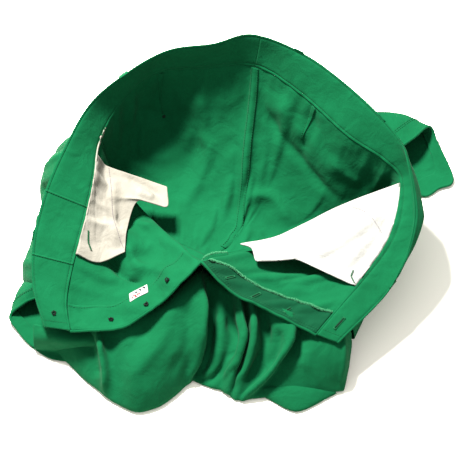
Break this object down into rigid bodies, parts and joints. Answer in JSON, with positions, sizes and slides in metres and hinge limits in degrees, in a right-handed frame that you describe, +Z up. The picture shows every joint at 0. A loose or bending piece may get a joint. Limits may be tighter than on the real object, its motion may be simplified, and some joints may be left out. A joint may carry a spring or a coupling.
{
  "type": "protective suit trousers",
  "caption": "Green cotton work trousers of a protective suit, dropped in a heap on the floor with the buttoned waist held open.",
  "frame": {"origin": "on the floor, under the middle of the heap's bounding box", "axes": "+X towards the wearer's left and the viewer's right, -Y towards the open fly and the viewer, +Z up"},
  "size_m": [0.554, 0.4236, 0.186],
  "materials": {
    "twill": "matt cotton twill",
    "pocketing": "thin plain-weave cotton",
    "label": "woven satin tape",
    "thread": "polyester sewing thread",
    "button": "polished moulded plastic"
  },
  "bodies": {
    "trousers": {"back_panel_left": "twill", "back_panel_right": "twill", "belt_loop_1": "twill", "belt_loop_2": "twill", "belt_loop_3": "twill", "belt_loop_4": "twill", "belt_loop_5": "twill", "button_stand": "twill", "button_threads": "thread", "buttonhole_facing": "twill", "front_panel_left": "twill", "front_panel_right": "twill", "left_hem": "twill", "left_leg_front_fold": "twill", "left_leg_under_fold": "twill", "right_hem": "twill", "right_leg_front_fold": "twill", "right_leg_under_fold": "twill", "seat_outside_left": "twill", "seat_outside_right": "twill", "size_label": "label", "waistband_left": "twill", "waistband_right": "twill"},
    "waist_button": {"waist_button": "button"},
    "fly_button_1": {"fly_button_1": "button"},
    "fly_button_2": {"fly_button_2": "button"},
    "fly_button_3": {"fly_button_3": "button"},
    "pocket_bag_right": {"pocket_bag_right": "pocketing"},
    "pocket_bag_left": {"pocket_bag_left": "pocketing"}
  },
  "joints": [
    {"name": "waist_button_tilt", "type": "hinge", "parent": "trousers", "child": "waist_button", "pos_m": [-0.21885, -0.1062, 0.04871], "axis": [-0.2253, 0.9461, 0.2327], "range_deg": [-15, 15]},
    {"name": "fly_button_1_tilt", "type": "hinge", "parent": "trousers", "child": "fly_button_1", "pos_m": [-0.16547, -0.11306, 0.04955], "axis": [-0.1768, 0.9778, 0.1121], "range_deg": [-15, 15]},
    {"name": "fly_button_2_tilt", "type": "hinge", "parent": "trousers", "child": "fly_button_2", "pos_m": [-0.11601, -0.101, 0.06032], "axis": [-0.3057, 0.9519, -0.0198], "range_deg": [-15, 15]},
    {"name": "fly_button_3_tilt", "type": "hinge", "parent": "trousers", "child": "fly_button_3", "pos_m": [-0.07355, -0.07388, 0.07481], "axis": [-0.4345, 0.8989, -0.056], "range_deg": [-15, 15]},
    {"name": "pocket_bag_right_lift", "type": "hinge", "parent": "trousers", "child": "pocket_bag_right", "pos_m": [-0.16949, 0.02822, 0.086], "axis": [-0.1505, -0.9777, -0.1467], "range_deg": [0, 25]},
    {"name": "pocket_bag_left_lift", "type": "hinge", "parent": "trousers", "child": "pocket_bag_left", "pos_m": [0.16853, -0.01919, 0.06835], "axis": [0.4531, 0.884, 0.1154], "range_deg": [0, 25]}
  ]
}
